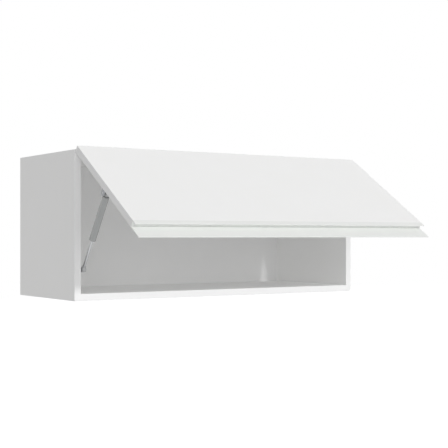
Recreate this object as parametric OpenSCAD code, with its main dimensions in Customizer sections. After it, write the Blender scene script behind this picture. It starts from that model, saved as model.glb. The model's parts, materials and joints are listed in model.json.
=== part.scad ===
// Wall cabinet with a one-piece flap that lifts up on two concealed hinges.
// One gas strut at the left holds the flap open, and a profile along the
// flap's lower edge is the handle. The model is drawn with the flap open.
//
// The origin is the centre of the rear face, which goes against the wall.
// X runs across the cabinet, +Z is up and the front faces -Y.

/* [Cabinet] */
// Width over the two sides
body_w = 800; // [600:10:1200]
// Height of the sides
body_h = 338; // [320:2:420]
// Depth of the sides, from the wall to their front edge
body_d = 310; // [280:5:400]
// Thickness of the carcass boards
board_t = 16; // [16:0.5:19]
// Thickness of the back panel
back_t = 3; // [2.5:0.5:4]
// How far the back panel laps into the boards round it
back_lap = 8; // [6:1:10]
// Thickness of the edge banding
band_t = 0.8; // [0.4:0.1:1.2]

/* [Flap] */
// Angle by which the flap is open
flap_angle = 56.7; // [50:0.1:62]
// Thickness of the flap
flap_t = 16; // [16:0.5:19]
// Length of the flap's panel, from its top edge to the handle
panel_l = 306; // [280:1:340]
// Gap between the closed flap and the carcass
flap_gap = 2; // [2:0.1:2.5]
// How far the closed flap's top edge stays below the carcass top
top_reveal = 1.5; // [1:0.1:2.5]
// How far each end of the flap stays inside the carcass width
side_reveal = 2; // [1:0.5:4]
// Depth of the hinge axis in the flap, from the flap's back
axis_in = 3; // [2.8:0.1:3.2]
// Distance of the hinge axis below the flap's top edge
axis_down = 3.5; // [3.4:0.1:3.7]

/* [Handle] */
// Wall of the handle profile
handle_wall = 2; // [1.6:0.1:2.4]
// Height of the lip at the front of the flap
lip_h = 13; // [10:0.5:16]
// Height of the flange at the back of the flap
flange_h = 41; // [34:0.5:48]
// Length of the tongue that fits in the panel's groove
tongue_l = 9; // [6:0.5:12]
// Thickness of that tongue
tongue_t = 2.2; // [1.6:0.1:3]

/* [Hinges] */
// Distance of each hinge from the outside of the cabinet
hinge_inset = 100; // [80:5:140]
// Diameter of the hinge cup
cup_d = 35; // [35:0.5:37]
// Depth of the cup in the flap
cup_depth = 11.5; // [10.5:0.1:12.5]
// Board left between the cup and the flap's top edge
cup_edge = 3.5; // [3:0.1:4]
// Wall of the cup
cup_wall = 1.2; // [1:0.1:1.5]
// Diameter of the hinge pin
pin_d = 3; // [2.6:0.1:3.2]
// Running clearance of the pin in the arm, on the radius
pin_clear = 0.05; // [0.02:0.01:0.1]
// Width of the arm's nose on the pin
nose_w = 10; // [8:0.5:10]
// Distance of the mounting plate's screws behind the carcass front
plate_setback = 37; // [34:0.5:45]
// Distance between the mounting plate's screws
plate_spacing = 32; // [28:1:36]
// Distance between the cup flange's screws
cup_screw_spacing = 48; // [46:0.5:52]

/* [Gas strut] */
// Distance of the strut's centre from the inside of the left side
strut_side = 16; // [15:0.5:22]
// Lower ball, behind the carcass front
low_in = 22; // [20:0.5:30]
// Lower ball, above the underside of the cabinet
low_up = 70; // [62:1:74]
// Upper ball, below the flap's top edge
high_down = 131.5; // [130:0.5:140]
// Upper ball, behind the flap's back
high_out = 26; // [24:0.5:30]
// Diameter of the tube
tube_d = 15; // [14:0.5:16]
// Wall of the tube
tube_wall = 1; // [0.8:0.1:1.2]
// Diameter of the rod
rod_d = 6; // [5:0.5:7]
// Diameter of the two balls
ball_d = 8; // [7:0.5:8.5]
// Clearance of the upper ball in its socket, on the radius
ball_clear = 0.05; // [0.02:0.01:0.1]
// Distance from each ball to the end of its socket
socket_l = 9; // [8.5:0.5:10]
// Thickness of the steel in the strut's two brackets
bracket_t = 2; // [1.5:0.1:2.5]

/* [Fittings] */
// Diameter of the wooden dowels
dowel_d = 8; // [6:0.5:8]
// Length of the wooden dowels
dowel_l = 30; // [26:1:34]
// Diameter of the cam locks
cam_d = 15; // [12:0.5:16]
// Distance of each cam's centre from the end of its board
cam_in = 24; // [22:1:34]
// Distance of the front cams behind the carcass front
cam_front = 55; // [50:1:60]
// Distance of the rear cams from the rear face
cam_rear = 60; // [55:1:65]
// Distance from each cam to the dowel beside it
dowel_step = 32; // [28:1:36]
// Distance between the nails of the back panel
nail_pitch = 128; // [90:1:150]
// Height of the cabinet hangers
hanger_h = 62; // [54:1:70]
// Depth of the cabinet hangers
hanger_d = 50; // [44:1:60]
// Thickness of the cabinet hangers
hanger_t = 18; // [16:0.5:20]
// Distance of the hook's strap behind the front of its hanger
strap_in = 26; // [22:0.5:28]
// Length of the strap's leg below its finger
strap_l = 22; // [20:0.5:24]
// How far the hanger hooks reach behind the cabinet
hook_reach = 8; // [7:0.5:9]
// Diameter of the rubber bumpers
bumper_d = 8; // [6:0.5:10]

/* [Hidden] */
$fn = 48;

white = [0.93, 0.93, 0.93];
board_white = [0.9, 0.9, 0.9];
zinc = [0.72, 0.73, 0.75];
steel = [0.6, 0.61, 0.63];
silver_grey = [0.68, 0.69, 0.7];
plastic_grey = [0.62, 0.62, 0.63];
wood = [0.8, 0.66, 0.47];
both = [-1, 1];
cut = 1; // how far a cutting shape runs past the face that it opens
seat = 0.3; // gap where one piece rests against another body

// Carcass. Heights below are above the cabinet's underside, and depths are
// behind the carcass front; at_front() moves such a shape to its place.
inner_w = body_w - 2 * board_t;
top_under = body_h - board_t;
back_w = inner_w + 2 * back_lap;
back_h = body_h - 2 * board_t + 2 * back_lap;

// Flap, drawn closed: its front is flap_front, its top edge flap_top
flap_back = -flap_gap;
flap_front = -flap_gap - flap_t;
flap_top = body_h - top_reveal;
flap_w = body_w - 2 * side_reveal;
axis_y = flap_back - axis_in;
axis_z = flap_top - axis_down;
panel_end = flap_top - panel_l;
groove_y = (flap_front + flap_back) / 2;

// Hinges
hinge_x = body_w / 2 - hinge_inset;
cup_z = flap_top - cup_edge - cup_d / 2;
eye_wall = 1.3;
eye_r = pin_d / 2 + eye_wall;
ear_t = 1.8;
ear_gap = 0.2;
ear_in = nose_w / 2 + ear_gap;
ear_out = ear_in + ear_t;
ear_floor = 0.8;
ear_depth = eye_r + ear_floor;
ear_l = 7;
ear_low = cup_z + cup_d / 2 - ear_l;
ear_rise = 0.1;
ear_top = axis_z + eye_r + ear_rise;
ear_pocket = eye_r + 0.4;
cup_flange_t = 1.2;
cup_wing = 7;
cup_flange_w = cup_screw_spacing + 2 * cup_wing;
cup_flange_h = 18;
cup_screw_down = 6;
cup_screw_z = cup_z - cup_screw_down;
cup_screw_d = 3.5;
cup_screw_l = 12;
cup_head_d = 7;
nose_t = 3;
nose_drop = 3;
nose_root = 5;
nose_bend = top_under - nose_drop;
arm_side = 1;
arm_w = nose_w + 2 * arm_side;
arm_wall = 1.2;
arm_h = 9.5;
arm_down = 4;
arm_top = top_under - arm_down;
arm_low = arm_top - arm_h;
arm_front = 5;
arm_tail = 35;
arm_back = plate_setback + arm_tail;
plate_t = 2.5;
plate_end = 8;
plate_wing = plate_spacing / 2 + plate_end;
plate_wing_d = 12;
rail_clear = 0.2;
rail_w = arm_w - 2 * arm_wall - 2 * rail_clear;
rail_low = arm_low + arm_wall + seat;
rail_lead = 18;
rail_tail = 28;
rail_front = plate_setback - rail_lead;
rail_back = plate_setback + rail_tail;
plate_screw_d = 5;
plate_screw_l = 12;
plate_head_d = 7.5;
arm_screw_d = 4;
arm_screw_grip = 6;
arm_head_d = 7.5;
arm_head_t = 2;
arm_screws_y = [rail_front + 6, rail_back - 8];

// Gas strut. The balls' places are [depth, height] at the photographed pose.
axis = [axis_y, axis_z];
strut_x = -body_w / 2 + board_t + strut_side;
low_ball = [low_in, low_up];
high_closed = [flap_back + high_out, flap_top - high_down];
high_ball = axis + turned(high_closed - axis);
strut_open = norm(low_ball - high_ball);
strut_closed = norm(low_ball - high_closed);
strut_tilt = atan2(high_ball[0] - low_ball[0], low_ball[1] - high_ball[1]);
closed_gap = 1;
tube_start = socket_l;
tube_end = strut_closed - socket_l - closed_gap;
tube_r = tube_d / 2;
bore_r = tube_r - tube_wall;
lip_t = 1;
tube_lip = 3;
tube_floor = 2;
tube_chamfer = 1.5;
roll_r = 0.8;
gland_l = 9;
piston_l = 6;
piston_clear = 0.1;
rod_clear = 0.05;
gland_start = tube_end - lip_t - gland_l;
piston_start = gland_start - seat - piston_l;
rod_grip = 3.5;
rod_end = strut_open - socket_l + rod_grip;
socket_wall = 2.5;
socket_cheek = 1;
socket_r = ball_d / 2 + socket_wall;
socket_w = ball_d + 2 * socket_cheek;
neck_wall = 1.5;
mouth_d = 5.4;
stud_d = 4;
collar_d = 9;
collar_t = 2;
ear_space = 4;
ear_x = strut_x - socket_w / 2 - ear_space;
side_face = -body_w / 2 + board_t;
screw_d = 4;
screw_l = 13;
screw_head_d = 8;
side_plate_r = 11;
side_plate_rise = 10;
side_plate_drop = 26;
side_plate_top = low_up + side_plate_rise;
side_plate_low = low_up - side_plate_drop;
side_screws = [[low_in, low_up - 9], [low_in, low_up - 20]];
ear_w = 14;
foot_w = 26;
foot_l = 34;
foot_x = ear_x + foot_w / 2;
foot_screw_step = 10;
foot_screw_z = [foot_screw_step, -foot_screw_step];

// Fittings
bolt_d = 7;
bolt_thread_d = 5;
bolt_grip = 11;
bolt_reach = 4;
bolt_head_l = 2;
cam_t = 12.5;
cam_cap_t = 1;
cam_slot_l = 8;
dowel_grip = 11;
fitting_y = [cam_front, body_d - cam_rear];
dowel_y = [fitting_y[0] + dowel_step, fitting_y[1] - dowel_step];
hanger_back_gap = 2;
hanger_top_gap = 1;
hanger_back = body_d - back_t - hanger_back_gap;
hanger_top = top_under - hanger_top_gap;
hanger_front = hanger_back - hanger_d;
hanger_edge = 8;
hanger_rear_edge = 10;
hanger_screws_at = [
    [hanger_front + hanger_edge, hanger_top - hanger_h + hanger_edge],
    [hanger_back - hanger_rear_edge, hanger_top - hanger_h + hanger_edge],
    [hanger_front + hanger_edge, hanger_top - hanger_edge]
];
hanger_frame = 16;
hanger_shell = 2;
hanger_seat_t = 3;
hanger_roof = 4;
adjuster_d = 6;
adjuster_sink = 2;
adjuster_slot_w = 1.2;
adjuster_slot_l = 5;
adjuster_slot_h = 1.5;
adjuster_high = 14;
adjuster_low = 34;
hanger_adjust_z = [hanger_top - adjuster_high, hanger_top - adjuster_low];
strap_front = hanger_front + strap_in;
hook_x = inner_w / 2 - hanger_t / 2;
hook_w = 9;
hook_t = 3;
hook_down = 16;
hook_z = hanger_top - hook_down;
hook_lift = 9;
notch_spare = 4;
notch_w = hanger_t + back_lap + notch_spare;
hook_room = 38;
notch_h = back_lap + hook_room;
nail_d = 1.6;
nail_l = 14;
nail_edge = 20;
nails_half = floor((back_w / 2 - notch_w - nail_edge) / nail_pitch);
nails_x = [for (k = [-nails_half : nails_half]) k * nail_pitch];
bumper_t = flap_gap - seat;
bumper_up = 14;
bumper_z = panel_end + bumper_up;
bumper_x = body_w / 2 - board_t / 2;

// Turns a [depth, height] vector from the closed to the open flap
function turned(v) = [
    v[0] * cos(flap_angle) + v[1] * sin(flap_angle),
    v[1] * cos(flap_angle) - v[0] * sin(flap_angle)
];

module at_front() {
    translate([0, -body_d, -body_h / 2]) children();
}

module on_flap() {
    at_front() translate([0, axis_y, axis_z]) rotate([-flap_angle, 0, 0])
        translate([0, -axis_y, -axis_z]) children();
}

// The strut's own frame: Z runs from the upper to the lower ball
module on_strut() {
    at_front() translate([strut_x, high_ball[0], high_ball[1]])
        rotate([strut_tilt, 0, 0]) children();
}

// A box given by its low and high corners
module block(low, high) {
    translate(low) cube(high - low);
}

// A round bar along X, from x to x + length
module bar_x(d, length, at) {
    translate(at) rotate([0, 90, 0]) cylinder(d = d, h = length);
}

// A round bar along Y
module bar_y(d, length, at) {
    translate(at) rotate([-90, 0, 0]) cylinder(d = d, h = length);
}

// A countersunk wood screw at the origin. It points up, and its head's face is at z = 0
module wood_screw(d, length, head_d) {
    head_h = (head_d - d) / 2;
    slot = head_d * 0.55;
    difference() {
        union() {
            cylinder(d1 = head_d, d2 = d, h = head_h);
            cylinder(d = d, h = length - d);
            translate([0, 0, length - d]) cylinder(d1 = d, d2 = 0.4, h = d);
        }
        for (turn = [0, 90])
            rotate(turn) translate([-slot / 2, -0.5, -cut]) cube([slot, 1, cut + head_h * 0.6]);
    }
}

// The space that such a screw fills in what it holds
module screw_hole(d, length, head_d) {
    head_h = (head_d - d) / 2;
    cylinder(d1 = head_d, d2 = d, h = head_h);
    cylinder(d = d, h = length - d);
    translate([0, 0, length - d]) cylinder(d1 = d, d2 = 0.4, h = d);
}

/* Carcass */

// Holes in a side, as seen on the right side, for what joins it to the boards
module side_holes() {
    for (z = [board_t / 2, body_h - board_t / 2]) {
        for (y = fitting_y)
            bar_x(bolt_thread_d, bolt_grip + cut, [inner_w / 2 - cut, y, z]);
        for (y = dowel_y)
            bar_x(dowel_d, dowel_grip + cut, [inner_w / 2 - cut, y, z]);
    }
}

module side_board(side) {
    at_front() difference() {
        mirror([side < 0 ? 1 : 0, 0, 0]) difference() {
            block([inner_w / 2, band_t, band_t], [body_w / 2, body_d, body_h]);
            block([inner_w / 2 - cut, body_d - back_t, board_t - back_lap],
                  [inner_w / 2 + back_lap, body_d + cut, body_h - board_t + back_lap]);
            side_holes();
            hanger_holes();
        }
        if (side < 0)
            for (at = side_screws)
                translate([side_face + bracket_t, at[0], at[1]]) rotate([0, -90, 0])
                    screw_hole(screw_d, screw_l, screw_head_d);
    }
}

module left_side() {
    color(board_white) side_board(-1);
}

module right_side() {
    color(board_white) side_board(1);
}

// What the top and the bottom share, drawn as the bottom with its cams from below
module flat_board() {
    difference() {
        block([-inner_w / 2, band_t, 0], [inner_w / 2, body_d, board_t]);
        block([-inner_w / 2 - cut, body_d - back_t, board_t - back_lap],
              [inner_w / 2 + cut, body_d + cut, board_t + cut]);
        for (side = both, y = fitting_y) {
            translate([side * (inner_w / 2 - cam_in), y, -cut])
                cylinder(d = cam_d, h = cam_t + cam_cap_t + cut);
            bar_x(bolt_d, cam_in + 2 * cut,
                  [side > 0 ? inner_w / 2 - cam_in - cut : -inner_w / 2 - cut, y, board_t / 2]);
        }
        for (side = both, y = dowel_y)
            bar_x(dowel_d, dowel_l - dowel_grip + cut,
                  [side > 0 ? inner_w / 2 - dowel_l + dowel_grip : -inner_w / 2 - cut, y, board_t / 2]);
        for (x = nails_x)
            bar_y(nail_d, nail_l, [x, body_d - nail_l, board_t - back_lap / 2]);
    }
}

module top_panel() {
    color(board_white) at_front() difference() {
        translate([0, 0, body_h]) mirror([0, 0, 1]) flat_board();
        for (side = both, half = both)
            translate([side * hinge_x + half * plate_spacing / 2, plate_setback, top_under - plate_t])
                screw_hole(plate_screw_d, plate_screw_l, plate_head_d);
    }
}

module bottom_panel() {
    color(board_white) at_front() flat_board();
}

module back_panel() {
    low = board_t - back_lap;
    color(board_white) at_front() difference() {
        block([-back_w / 2, body_d - back_t, low], [back_w / 2, body_d, low + back_h]);
        for (side = both)
            translate([side * (back_w / 2 - notch_w / 2), body_d - back_t / 2, low + back_h - notch_h / 2])
                cube([notch_w + 0.01, back_t + 2 * cut, notch_h + 0.01], center = true);
        each_nail() bar_y(nail_d, back_t + 2 * cut, [0, body_d - back_t - cut, 0]);
    }
}

// The banding on the front edges, and on the lower edges of the two sides
module carcass_edge_bands() {
    color(white) at_front() {
        for (side = both) {
            mirror([side < 0 ? 1 : 0, 0, 0]) {
                block([inner_w / 2, 0, band_t], [body_w / 2, band_t, body_h]);
                block([inner_w / 2, 0, 0], [body_w / 2, body_d, band_t]);
            }
        }
        for (low = [0, top_under])
            block([-inner_w / 2, 0, low], [inner_w / 2, band_t, low + board_t]);
    }
}

module wood_dowels() {
    color(wood) at_front() for (side = both, y = dowel_y, z = [board_t / 2, body_h - board_t / 2])
        bar_x(dowel_d, dowel_l,
              [side > 0 ? inner_w / 2 + dowel_grip - dowel_l : -inner_w / 2 - dowel_grip, y, z]);
}

// Places a child at each cam: it is drawn with the end of its board at x = 0 and the board at x < 0
module each_cam() {
    for (side = both, y = fitting_y, top = [0, 1])
        at_front() translate([0, y, top * body_h]) mirror([0, 0, top])
            mirror([side < 0 ? 1 : 0, 0, 0]) translate([inner_w / 2, 0, 0]) children();
}

module cam_bolts() {
    shank = cam_in - cam_d / 2 + bolt_reach;
    color(zinc) each_cam() {
        bar_x(bolt_thread_d, bolt_grip, [0, 0, board_t / 2]);
        bar_x(bolt_d, shank - bolt_head_l, [bolt_head_l - shank, 0, board_t / 2]);
        bar_x(bolt_thread_d, bolt_head_l + cut / 2, [-cut / 2 - shank, 0, board_t / 2]);
    }
}

module cam_locks() {
    slot_w = bolt_d + 0.4;
    color(zinc) each_cam() translate([-cam_in, 0, cam_cap_t]) difference() {
        cylinder(d = cam_d, h = cam_t);
        translate([0, -slot_w / 2, board_t / 2 - cam_cap_t - slot_w / 2])
            cube([cam_d, slot_w, slot_w]);
        translate([-cam_slot_l / 2, -0.6, -cut]) cube([cam_slot_l, 1.2, cut + 2]);
    }
}

module cam_caps() {
    color(white) each_cam() translate([-cam_in, 0, 0]) cylinder(d = cam_d, h = cam_cap_t);
}

// Places a child at each nail, which runs along +Y through the back panel
module each_nail() {
    for (x = nails_x, z = [board_t - back_lap / 2, body_h - board_t + back_lap / 2])
        translate([x, 0, z]) children();
}

module back_panel_nails() {
    color(steel) at_front() each_nail()
        bar_y(nail_d, nail_l, [0, body_d - nail_l, 0]);
}

/* Hangers, drawn at the right side */

module hanger_holes() {
    for (at = hanger_screws_at)
        translate([inner_w / 2 - hanger_seat_t, at[0], at[1]]) rotate([0, 90, 0])
            screw_hole(screw_d, screw_l, screw_head_d);
}

module hanger_case() {
    difference() {
        block([inner_w / 2 - hanger_t, hanger_front, hanger_top - hanger_h],
              [inner_w / 2, hanger_back, hanger_top]);
        // hollow of the mechanism, open at the back
        block([inner_w / 2 - hanger_t + hanger_shell, hanger_front + hanger_frame,
               hanger_top - hanger_h + hanger_frame],
              [inner_w / 2 - hanger_seat_t, hanger_back + cut, hanger_top - hanger_roof]);
        // recesses over the screws
        for (at = hanger_screws_at)
            bar_x(screw_head_d + 1, hanger_t, [inner_w / 2 - hanger_seat_t - hanger_t, at[0], at[1]]);
        hanger_holes();
        for (z = hanger_adjust_z)
            bar_y(adjuster_d, hanger_frame + 2 * cut, [hook_x, hanger_front - cut, z]);
    }
}

module hanger_case_left() {
    color(white) at_front() mirror([1, 0, 0]) hanger_case();
}

module hanger_case_right() {
    color(white) at_front() hanger_case();
}

// A steel strap in the case, with a finger that reaches back over the wall rail
module hanger_hooks() {
    color(zinc) at_front() for (side = both) mirror([side < 0 ? 1 : 0, 0, 0])
        translate([hook_x - hook_w / 2, 0, 0]) rotate([90, 0, 90]) linear_extrude(hook_w) polygon([
            [strap_front, hook_z - strap_l], [strap_front + hook_t, hook_z - strap_l],
            [strap_front + hook_t, hook_z - hook_t],
            [body_d + hook_reach - hook_t, hook_z - hook_t],
            [body_d + hook_reach - hook_t, hook_z - hook_t - hook_lift],
            [body_d + hook_reach, hook_z - hook_t - hook_lift],
            [body_d + hook_reach, hook_z], [strap_front, hook_z]
        ]);
}

// The height and depth screws, which turn against the hook's strap
module hanger_adjusters() {
    front = hanger_front + adjuster_sink;
    half_w = adjuster_slot_w / 2;
    half_l = adjuster_slot_l / 2;
    slot_end = front + adjuster_slot_h;
    color(zinc) at_front() for (side = both, z = hanger_adjust_z) {
        mirror([side < 0 ? 1 : 0, 0, 0]) difference() {
            bar_y(adjuster_d, strap_front - front, [hook_x, front, z]);
            block([hook_x - half_l, front - cut, z - half_w], [hook_x + half_l, slot_end, z + half_w]);
            block([hook_x - half_w, front - cut, z - half_l], [hook_x + half_w, slot_end, z + half_l]);
        }
    }
}

module hanger_screws() {
    color(steel) at_front() for (side = both, at = hanger_screws_at)
        mirror([side < 0 ? 1 : 0, 0, 0]) translate([inner_w / 2 - hanger_seat_t, at[0], at[1]])
            rotate([0, 90, 0]) wood_screw(screw_d, screw_l, screw_head_d);
}

/* Hinges */

module each_hinge() {
    for (side = both)
        translate([side * hinge_x, 0, 0]) children();
}

module hinge_plate() {
    difference() {
        union() {
            block([-plate_wing, plate_setback - plate_wing_d / 2, top_under - plate_t],
                  [plate_wing, plate_setback + plate_wing_d / 2, top_under]);
            block([-rail_w / 2, rail_front, rail_low], [rail_w / 2, rail_back, top_under]);
        }
        for (half = both)
            translate([half * plate_spacing / 2, plate_setback, top_under - plate_t])
                screw_hole(plate_screw_d, plate_screw_l, plate_head_d);
        for (y = arm_screws_y)
            translate([0, y, rail_low - cut]) cylinder(d = arm_screw_d, h = arm_screw_grip + cut);
    }
}

module hinge_plates() {
    color(zinc) at_front() each_hinge() hinge_plate();
}

// A channel over the plate's rail, and a nose that reaches round the top board's edge to the pin
module hinge_arm() {
    difference() {
        union() {
            block([-arm_w / 2, arm_front, arm_low], [arm_w / 2, arm_back, arm_top]);
            translate([-nose_w / 2, 0, 0]) rotate([90, 0, 90]) linear_extrude(nose_w) polygon([
                [arm_front, arm_low], [arm_front, arm_low + nose_root],
                [axis_y + nose_t / 2, nose_bend], [axis_y + nose_t / 2, axis_z],
                [axis_y - nose_t / 2, axis_z], [axis_y - nose_t / 2, nose_bend - 2],
                [axis_y + nose_t, arm_low]
            ]);
            bar_x(2 * eye_r, nose_w, [-nose_w / 2, axis_y, axis_z]);
        }
        block([-arm_w / 2 + arm_wall, arm_front + 3, arm_low + arm_wall],
              [arm_w / 2 - arm_wall, arm_back + cut, arm_top + cut]);
        bar_x(pin_d + 2 * pin_clear, nose_w + 2 * cut, [-nose_w / 2 - cut, axis_y, axis_z]);
        for (y = arm_screws_y)
            translate([0, y, arm_low - cut]) cylinder(d = arm_screw_d, h = arm_wall + 2 * cut);
    }
}

module hinge_arms() {
    color(zinc) at_front() each_hinge() hinge_arm();
}

module hinge_plate_screws() {
    color(steel) at_front() each_hinge() for (half = both)
        translate([half * plate_spacing / 2, plate_setback, top_under - plate_t])
            wood_screw(plate_screw_d, plate_screw_l, plate_head_d);
}

module hinge_arm_screws() {
    slot = arm_head_d * 0.6;
    color(steel) at_front() each_hinge() for (y = arm_screws_y)
        translate([0, y, arm_low]) difference() {
            union() {
                translate([0, 0, -arm_head_t]) cylinder(d = arm_head_d, h = arm_head_t);
                cylinder(d = arm_screw_d, h = rail_low - arm_low + arm_screw_grip);
            }
            for (turn = [0, 90])
                rotate(turn) translate([-slot / 2, -0.5, -arm_head_t - cut])
                    cube([slot, 1, cut + arm_head_t * 0.6]);
        }
}

// The round cup, its flange on the flap's back, and two ears that hold the pin
module hinge_cup() {
    mouth_d2 = cup_d - 2 * cup_wall;
    difference() {
        union() {
            bar_y(cup_d, cup_depth, [0, flap_back - cup_depth, cup_z]);
            block([-cup_flange_w / 2, flap_back, cup_z - cup_flange_h / 2],
                  [cup_flange_w / 2, flap_back + cup_flange_t, cup_z + cup_flange_h / 2]);
            block([-ear_out, axis_y - ear_depth, ear_low], [ear_out, flap_back, ear_top]);
        }
        bar_y(mouth_d2, cup_depth + cut, [0, flap_back - cup_depth + cup_wall, cup_z]);
        block([-ear_in, axis_y - ear_pocket, cup_z], [ear_in, flap_back + cut, ear_top + cut]);
        bar_x(pin_d, 2 * ear_out + 2 * cut, [-ear_out - cut, axis_y, axis_z]);
        for (half = both)
            translate([half * cup_screw_spacing / 2, flap_back + cup_flange_t, cup_screw_z])
                rotate([90, 0, 0]) screw_hole(cup_screw_d, cup_screw_l, cup_head_d);
    }
}

module hinge_cups() {
    color(zinc) on_flap() each_hinge() hinge_cup();
}

module hinge_cup_screws() {
    color(steel) on_flap() each_hinge() for (half = both)
        translate([half * cup_screw_spacing / 2, flap_back + cup_flange_t, cup_screw_z])
            rotate([90, 0, 0]) wood_screw(cup_screw_d, cup_screw_l, cup_head_d);
}

module hinge_pins() {
    color(steel) on_flap() each_hinge()
        bar_x(pin_d, 2 * ear_out, [-ear_out, axis_y, axis_z]);
}

/* Flap */

module door_panel() {
    color(board_white) on_flap() difference() {
        block([-flap_w / 2 + band_t, flap_front, panel_end],
              [flap_w / 2 - band_t, flap_back, flap_top - band_t]);
        block([-flap_w / 2, groove_y - tongue_t / 2, panel_end - cut],
              [flap_w / 2, groove_y + tongue_t / 2, panel_end + tongue_l]);
        each_hinge() {
            bar_y(cup_d, cup_depth + cut, [0, flap_back - cup_depth, cup_z]);
            block([-ear_out, axis_y - ear_depth, ear_low], [ear_out, flap_back + cut, flap_top]);
            for (half = both)
                translate([half * cup_screw_spacing / 2, flap_back + cup_flange_t, cup_screw_z])
                    rotate([90, 0, 0]) screw_hole(cup_screw_d, cup_screw_l, cup_head_d);
        }
        for (z = foot_screw_z)
            translate([foot_x, flap_back + bracket_t, high_closed[1] + z]) rotate([90, 0, 0])
                screw_hole(screw_d, screw_l, screw_head_d);
    }
}

// The banding on the flap's two ends and along its top edge, notched over the hinges
module door_edge_bands() {
    color(white) on_flap() {
        for (side = both) mirror([side < 0 ? 1 : 0, 0, 0])
            block([flap_w / 2 - band_t, flap_front, panel_end], [flap_w / 2, flap_back, flap_top]);
        difference() {
            block([-flap_w / 2 + band_t, flap_front, flap_top - band_t],
                  [flap_w / 2 - band_t, flap_back, flap_top]);
            each_hinge() block([-ear_out, axis_y - ear_depth, flap_top - band_t - cut],
                               [ear_out, flap_back + cut, flap_top + cut]);
        }
    }
}

// One extrusion: a web on the panel's edge, a tongue, a front lip and a longer back flange
module handle_profile() {
    color(white) on_flap() {
        block([-flap_w / 2, flap_front, panel_end - handle_wall], [flap_w / 2, flap_back, panel_end]);
        block([-flap_w / 2 + band_t, groove_y - tongue_t / 2, panel_end],
              [flap_w / 2 - band_t, groove_y + tongue_t / 2, panel_end + tongue_l]);
        block([-flap_w / 2, flap_front, panel_end - lip_h],
              [flap_w / 2, flap_front + handle_wall, panel_end - handle_wall]);
        block([-flap_w / 2, flap_back - handle_wall, panel_end - flange_h],
              [flap_w / 2, flap_back, panel_end - handle_wall]);
    }
}

module door_bumpers() {
    color([0.85, 0.87, 0.88]) on_flap() for (side = both)
        bar_y(bumper_d, bumper_t, [side * bumper_x, flap_back, bumper_z]);
}

/* Gas strut */

module strut_side_bracket() {
    color(zinc) at_front() difference() {
        union() {
            for (z = [side_plate_low + side_plate_r, side_plate_top - side_plate_r])
                bar_x(2 * side_plate_r, bracket_t, [side_face, low_in, z]);
            block([side_face, low_in - side_plate_r, side_plate_low + side_plate_r],
                  [side_face + bracket_t, low_in + side_plate_r, side_plate_top - side_plate_r]);
        }
        for (at = side_screws)
            translate([side_face + bracket_t, at[0], at[1]]) rotate([0, -90, 0])
                screw_hole(screw_d, screw_l, screw_head_d);
    }
}

module strut_side_screws() {
    color(steel) at_front() for (at = side_screws)
        translate([side_face + bracket_t, at[0], at[1]]) rotate([0, -90, 0])
            wood_screw(screw_d, screw_l, screw_head_d);
}

// A foot on the flap's back and an ear that carries the upper ball stud
module strut_door_bracket() {
    color(zinc) on_flap() difference() {
        union() {
            block([ear_x - bracket_t, flap_back, high_closed[1] - foot_l / 2],
                  [ear_x - bracket_t + foot_w, flap_back + bracket_t, high_closed[1] + foot_l / 2]);
            block([ear_x - bracket_t, flap_back, high_closed[1] - ear_w / 2],
                  [ear_x, high_closed[0], high_closed[1] + ear_w / 2]);
            bar_x(ear_w, bracket_t, [ear_x - bracket_t, high_closed[0], high_closed[1]]);
        }
        bar_x(stud_d, bracket_t + 2 * cut, [ear_x - bracket_t - cut, high_closed[0], high_closed[1]]);
        for (z = foot_screw_z)
            translate([foot_x, flap_back + bracket_t, high_closed[1] + z]) rotate([90, 0, 0])
                screw_hole(screw_d, screw_l, screw_head_d);
    }
}

// A ball on a neck, with a collar, turned about X; the ball's centre is the origin
module ball_stud(collar_x, tail) {
    rotate([0, 90, 0]) rotate_extrude() intersection() {
        union() {
            circle(d = ball_d);
            translate([0, collar_x - tail]) square([stud_d / 2, tail - collar_x]);
            translate([0, collar_x]) square([collar_d / 2, collar_t]);
        }
        translate([0, collar_x - tail]) square([collar_d, tail - collar_x + ball_d]);
    }
}

module strut_door_stud() {
    color(steel) on_flap() translate([strut_x, high_closed[0], high_closed[1]])
        ball_stud(ear_x - strut_x, bracket_t);
}

module strut_door_screws() {
    color(steel) on_flap() for (z = foot_screw_z)
        translate([foot_x, flap_back + bracket_t, high_closed[1] + z]) rotate([90, 0, 0])
            wood_screw(screw_d, screw_l, screw_head_d);
}

// A closed cylinder with its end rolled in over the gland
module strut_tube() {
    color(silver_grey) on_strut() rotate_extrude() polygon([
        [0, tube_start], [tube_r - tube_chamfer, tube_start], [tube_r, tube_start + tube_chamfer],
        [tube_r, tube_end - roll_r], [tube_r - roll_r, tube_end], [tube_r - tube_lip, tube_end],
        [tube_r - tube_lip, tube_end - lip_t], [bore_r, tube_end - lip_t],
        [bore_r, tube_start + tube_floor], [0, tube_start + tube_floor]
    ]);
}

// A socket turned about X round a ball, open towards -X, with a neck along +Z
module socket(clear, grip) {
    neck_low = ball_d / 2 + 0.6;
    difference() {
        union() {
            rotate([0, 90, 0]) rotate_extrude() difference() {
                translate([0, -socket_w / 2]) square([socket_r, socket_w]);
                circle(d = ball_d + 2 * clear);
                translate([0, -socket_w]) square([mouth_d / 2, socket_w]);
            }
            translate([0, 0, neck_low]) cylinder(d = rod_d + 2 * neck_wall, h = socket_l - neck_low);
        }
        if (grip > 0)
            translate([0, 0, socket_l - grip]) cylinder(d = rod_d, h = grip + cut);
    }
}

module strut_tube_socket() {
    color(plastic_grey) on_strut() socket(ball_clear, 0);
}

module strut_gland() {
    color(plastic_grey) on_strut() translate([0, 0, gland_start]) difference() {
        cylinder(r = bore_r, h = gland_l);
        translate([0, 0, -cut]) cylinder(d = rod_d + 2 * rod_clear, h = gland_l + 2 * cut);
    }
}

module strut_rod() {
    color([0.85, 0.86, 0.88]) on_strut() translate([0, 0, piston_start])
        cylinder(d = rod_d, h = rod_end - piston_start);
}

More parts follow.
